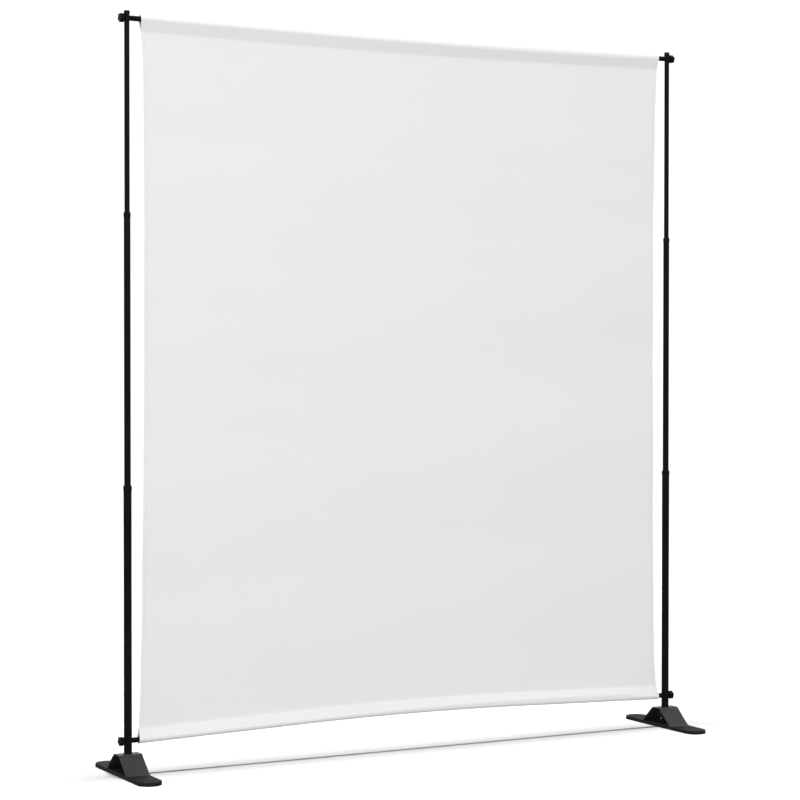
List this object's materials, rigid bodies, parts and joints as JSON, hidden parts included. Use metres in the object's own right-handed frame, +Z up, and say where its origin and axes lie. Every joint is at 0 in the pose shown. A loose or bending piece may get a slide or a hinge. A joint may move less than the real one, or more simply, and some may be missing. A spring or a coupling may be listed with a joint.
{
  "type": "adjustable banner stand",
  "caption": "Free-standing telescopic stand: stepped round poles on flat feet, thin crossbars held by lobed knobs, and a plain white fabric banner stretched between them.",
  "frame": {"origin": "on the floor, midway between the two poles", "axes": "+X to the viewer's right along the banner, +Y from the front to the back, +Z up"},
  "size_m": [2.16, 0.442, 2.438],
  "materials": {
    "black_powder_coat": "satin",
    "black_plastic": "satin",
    "lock_plastic": "matte",
    "zinc_steel": "satin",
    "rubber": "matte",
    "banner_fabric": "matte"
  },
  "bodies": {
    "left_lower": {"left_base_plate": "black_powder_coat", "left_foot_bracket": "black_powder_coat", "left_rubber_feet": "rubber", "left_foot_bolt": "zinc_steel", "left_foot_insert": "lock_plastic", "left_lower_tube": "black_powder_coat", "left_lower_collar": "black_plastic", "bottom_left_end_plug": "black_plastic", "bottom_left_end_tube": "black_powder_coat", "bottom_left_lock_plug": "lock_plastic", "bottom_left_lock_ring": "lock_plastic", "banner": "banner_fabric"},
    "left_mid_carriage": {"left_lower_lock_ring": "lock_plastic"},
    "left_middle": {"left_middle_tube": "black_powder_coat", "left_lower_lock_plug": "lock_plastic", "left_middle_collar": "black_plastic"},
    "left_top": {"left_top_tube": "black_powder_coat", "left_upper_lock_plug": "lock_plastic", "left_top_cap": "black_plastic", "top_left_end_plug": "black_plastic", "top_left_end_tube": "black_powder_coat", "top_left_lock_plug": "lock_plastic", "top_left_lock_ring": "lock_plastic"},
    "left_upper_ring": {"left_upper_lock_ring": "lock_plastic"},
    "bottom_center": {"bottom_center_tube": "black_powder_coat", "bottom_bar_collars": "black_plastic"},
    "top_center": {"top_center_tube": "black_powder_coat", "top_bar_collars": "black_plastic"},
    "right_lower": {"right_base_plate": "black_powder_coat", "right_foot_bracket": "black_powder_coat", "right_rubber_feet": "rubber", "right_foot_bolt": "zinc_steel", "right_foot_insert": "lock_plastic", "right_lower_tube": "black_powder_coat", "right_lower_collar": "black_plastic", "bottom_right_end_plug": "black_plastic", "bottom_right_end_tube": "black_powder_coat", "bottom_right_lock_plug": "lock_plastic", "bottom_right_lock_ring": "lock_plastic"},
    "right_mid_carriage": {"right_lower_lock_ring": "lock_plastic"},
    "right_middle": {"right_middle_tube": "black_powder_coat", "right_lower_lock_plug": "lock_plastic", "right_middle_collar": "black_plastic"},
    "right_top": {"right_top_tube": "black_powder_coat", "right_upper_lock_plug": "lock_plastic", "right_top_cap": "black_plastic", "top_right_end_plug": "black_plastic", "top_right_end_tube": "black_powder_coat", "top_right_lock_plug": "lock_plastic", "top_right_lock_ring": "lock_plastic"},
    "right_upper_ring": {"right_upper_lock_ring": "lock_plastic"},
    "bottom_left_stud": {"bottom_left_knob_stud": "zinc_steel"},
    "bottom_left_knob": {"bottom_left_knob": "black_plastic"},
    "bottom_right_stud": {"bottom_right_knob_stud": "zinc_steel"},
    "bottom_right_knob": {"bottom_right_knob": "black_plastic"},
    "top_left_stud": {"top_left_knob_stud": "zinc_steel"},
    "top_left_knob": {"top_left_knob": "black_plastic"},
    "top_right_stud": {"top_right_knob_stud": "zinc_steel"},
    "top_right_knob": {"top_right_knob": "black_plastic"}
  },
  "joints": [
    {"name": "height_lower_stage", "type": "slide", "parent": "left_lower", "child": "left_mid_carriage", "axis": [0, 0, 1], "range_m": [-0.65, 0], "deforming": ["banner"]},
    {"name": "height_upper_stage", "type": "slide", "parent": "left_mid_carriage", "child": "left_top", "axis": [0, 0, 1], "range_m": [-0.59, 0], "deforming": ["banner"]},
    {"name": "right_lower_stage", "type": "slide", "parent": "right_lower", "child": "right_mid_carriage", "axis": [0, 0, 1], "range_m": [-0.65, 0]},
    {"name": "right_upper_stage", "type": "slide", "parent": "right_mid_carriage", "child": "right_top", "axis": [0, 0, 1], "range_m": [-0.59, 0]},
    {"name": "twist_lock_left", "type": "hinge", "parent": "left_mid_carriage", "child": "left_middle", "pos_m": [-1.04, 0, 1.3], "axis": [0, 0, 1], "range_deg": [-90, 0]},
    {"name": "upper_ring_left", "type": "hinge", "parent": "left_top", "child": "left_upper_ring", "pos_m": [-1.04, 0, 1.66], "axis": [0, 0, 1], "range_deg": [-90, 0]},
    {"name": "twist_lock_right", "type": "hinge", "parent": "right_mid_carriage", "child": "right_middle", "pos_m": [1.04, 0, 1.3], "axis": [0, 0, 1], "range_deg": [-90, 0]},
    {"name": "upper_ring_right", "type": "hinge", "parent": "right_top", "child": "right_upper_ring", "pos_m": [1.04, 0, 1.66], "axis": [0, 0, 1], "range_deg": [-90, 0]},
    {"name": "frame_width", "type": "slide", "parent": "left_lower", "child": "bottom_center", "axis": [0.9996, 0, 0.0294], "range_m": [0, 0.16], "deforming": ["banner"]},
    {"name": "right_width", "type": "slide", "parent": "bottom_center", "child": "right_lower", "axis": [0.9996, 0, -0.0294], "range_m": [0, 0.16]},
    {"name": "top_width", "type": "slide", "parent": "left_top", "child": "top_center", "axis": [0.9999, 0, -0.0118], "range_m": [0, 0.15994]},
    {"name": "stud_bottom_left_travel", "type": "slide", "parent": "left_lower", "child": "bottom_left_stud", "axis": [-1, 0, 0], "range_m": [0, 0.02]},
    {"name": "knob_bottom_left_turn", "type": "hinge", "parent": "bottom_left_stud", "child": "bottom_left_knob", "pos_m": [-1.06, 0, 0.1106], "axis": [-1, 0, 0], "range_deg": [0, 7200.1]},
    {"name": "stud_bottom_right_travel", "type": "slide", "parent": "right_lower", "child": "bottom_right_stud", "axis": [1, 0, 0], "range_m": [0, 0.02]},
    {"name": "knob_bottom_right_turn", "type": "hinge", "parent": "bottom_right_stud", "child": "bottom_right_knob", "pos_m": [1.06, 0, 0.1106], "axis": [1, 0, 0], "range_deg": [0, 7200.1]},
    {"name": "stud_top_left_travel", "type": "slide", "parent": "left_top", "child": "top_left_stud", "axis": [-1, 0, 0], "range_m": [0, 0.02]},
    {"name": "knob_top_left_turn", "type": "hinge", "parent": "top_left_stud", "child": "top_left_knob", "pos_m": [-1.06, 0, 2.4145], "axis": [-1, 0, 0], "range_deg": [0, 7200.1]},
    {"name": "stud_top_right_travel", "type": "slide", "parent": "right_top", "child": "top_right_stud", "axis": [1, 0, 0], "range_m": [0, 0.02]},
    {"name": "knob_top_right_turn", "type": "hinge", "parent": "top_right_stud", "child": "top_right_knob", "pos_m": [1.06, 0, 2.4145], "axis": [1, 0, 0], "range_deg": [0, 7200.1]}
  ],
  "couplings": [
    {"joint": "right_lower_stage", "follows": "height_lower_stage", "ratio": 1},
    {"joint": "right_upper_stage", "follows": "height_upper_stage", "ratio": 1},
    {"joint": "upper_ring_left", "follows": "twist_lock_left", "ratio": 1},
    {"joint": "upper_ring_right", "follows": "twist_lock_right", "ratio": 1},
    {"joint": "right_width", "follows": "frame_width", "ratio": 1},
    {"joint": "top_width", "follows": "frame_width", "ratio": 0.99964},
    {"joint": "knob_bottom_left_turn", "follows": "stud_bottom_left_travel", "rad_per_m": 6283.2},
    {"joint": "knob_bottom_right_turn", "follows": "stud_bottom_right_travel", "rad_per_m": 6283.2},
    {"joint": "knob_top_left_turn", "follows": "stud_top_left_travel", "rad_per_m": 6283.2},
    {"joint": "knob_top_right_turn", "follows": "stud_top_right_travel", "rad_per_m": 6283.2}
  ]
}
